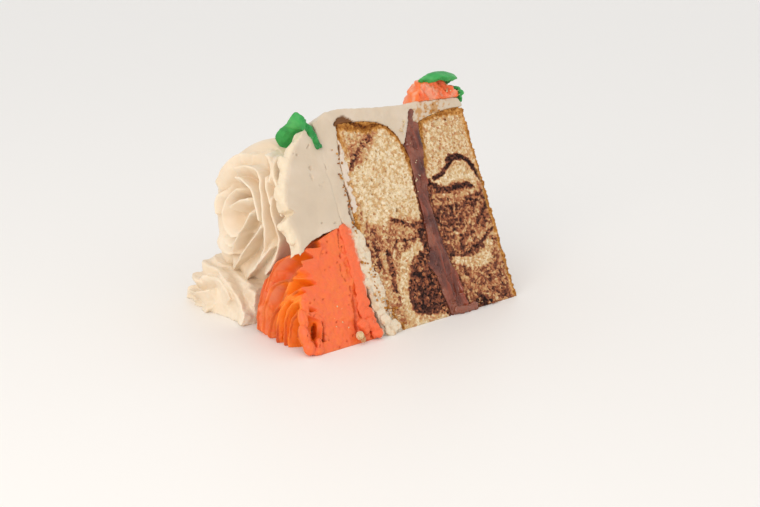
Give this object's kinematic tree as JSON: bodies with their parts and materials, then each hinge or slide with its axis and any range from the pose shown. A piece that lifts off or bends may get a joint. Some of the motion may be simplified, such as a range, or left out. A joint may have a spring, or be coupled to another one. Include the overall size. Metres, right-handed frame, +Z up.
{
  "type": "slice of marble cake",
  "caption": "Wedge cut from a two-layer round marble cake with fudge filling, coated in buttercream and piped with roses, lying on its cut side.",
  "frame": {"origin": "middle of the slice's footprint, on the plane of the cut face that it rests on", "axes": "+Z up; +X from the cake's top towards the cake's base, so the roses are at -X; +Y from the slice's tip towards its outer side"},
  "size_m": [0.1433, 0.1218, 0.1104],
  "materials": {
    "sponge": "open baked crumb, yellow swirled with chocolate brown, golden-brown crust, no shine",
    "fudge": "smooth moist chocolate fudge, soft gloss",
    "white_icing": "off-white buttercream, satin, slightly translucent",
    "orange_icing": "orange buttercream, satin, slightly translucent",
    "green_icing": "green buttercream, satin"
  },
  "bodies": {
    "root": {"bottom_sponge": "sponge", "fudge_filling": "fudge", "top_sponge": "sponge", "icing_coat": "white_icing", "centre_rosette": "orange_icing", "white_rose": "white_icing", "lower_rose": "white_icing", "cut_rose": "white_icing", "base_rosette_1": "orange_icing", "base_rosette_2": "orange_icing", "base_rosette_3": "orange_icing", "leaf_top": "green_icing", "leaf_over_rosette_1": "green_icing", "leaf_over_rosette_2": "green_icing", "leaf_over_rosette_3": "green_icing", "leaf_under_rosette_1": "green_icing", "leaf_under_rosette_2": "green_icing", "leaf_under_rosette_3": "green_icing"}
  },
  "joints": []
}
